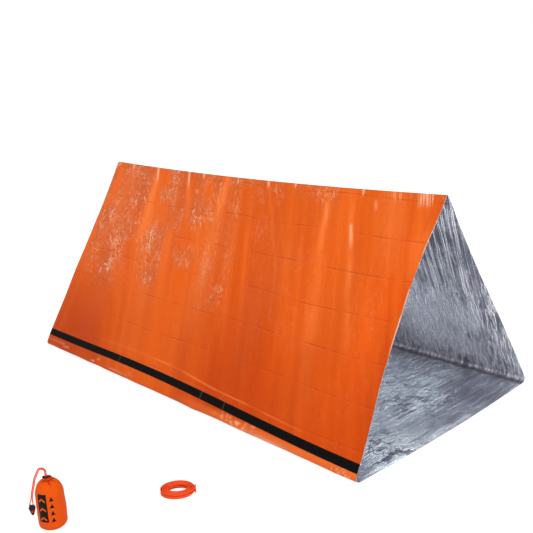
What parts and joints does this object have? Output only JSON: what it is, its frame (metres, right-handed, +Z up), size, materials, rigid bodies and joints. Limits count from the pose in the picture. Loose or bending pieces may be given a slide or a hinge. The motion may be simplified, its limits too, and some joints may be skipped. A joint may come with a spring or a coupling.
{
  "type": "survival tent",
  "caption": "Triangular emergency tube tent of plastic film, open at both ends, with its filled stuff sack, cord lock, whistle and a hank of guy cord.",
  "frame": {"origin": "on the ground, at the middle of the tent's floor", "axes": "+X along the ridge towards the end that the picture shows open, +Z up, -Y out through the taped wall"},
  "size_m": [2.4, 2.249, 1.01],
  "materials": {
    "tent_film": "crinkled plastic film, orange outside and aluminised silver inside",
    "seam_tape": "black pressure tape, low sheen",
    "sack_cloth": "fine woven nylon, soft sheen",
    "cord_braid": "braided nylon sheath",
    "black_plastic": "moulded, fine grain",
    "red_plastic": "moulded, smooth",
    "spring_steel": "drawn wire"
  },
  "bodies": {
    "tent": {"front_wall": "tent_film", "back_wall": "tent_film", "floor_sheet": "tent_film", "seam_tape": "seam_tape"},
    "ridge": {"ridge_fold": "tent_film"},
    "sack": {"sack_body": "sack_cloth", "sack_base": "sack_cloth", "sack_hem": "sack_cloth", "drawcord": "cord_braid"},
    "cord_lock": {"cord_lock_barrel": "black_plastic", "cord_lock_spring": "spring_steel"},
    "plunger": {"cord_lock_plunger": "black_plastic"},
    "whistle": {"whistle_body": "black_plastic", "whistle_core": "red_plastic"},
    "hank": {"guy_cord": "cord_braid"}
  },
  "joints": [
    {"name": "ridge_lower", "type": "slide", "parent": "tent", "child": "ridge", "axis": [0, 0, -1], "range_m": [0, 0.88], "deforming": ["front_wall", "back_wall", "seam_tape"]},
    {"name": "sack_lift", "type": "slide", "parent": "tent", "child": "sack", "axis": [0, 0, 1], "range_m": [0, 0.25]},
    {"name": "hank_lift", "type": "slide", "parent": "tent", "child": "hank", "axis": [0, 0, 1], "range_m": [0, 0.25]},
    {"name": "cord_lock_slide", "type": "slide", "parent": "sack", "child": "cord_lock", "axis": [0, 0, 1], "range_m": [0, 0.01]},
    {"name": "plunger_press", "type": "slide", "parent": "cord_lock", "child": "plunger", "axis": [-0.6665, -0.7455, 0], "range_m": [0, 0.003], "stiffness_N_per_m": 300, "springref_m": -0.003, "deforming": ["cord_lock_spring"]},
    {"name": "whistle_swing", "type": "hinge", "parent": "sack", "child": "whistle", "pos_m": [0.56804, -1.61298, 0.096], "axis": [-0.6665, -0.7455, 0], "range_deg": [-20, 70]}
  ]
}
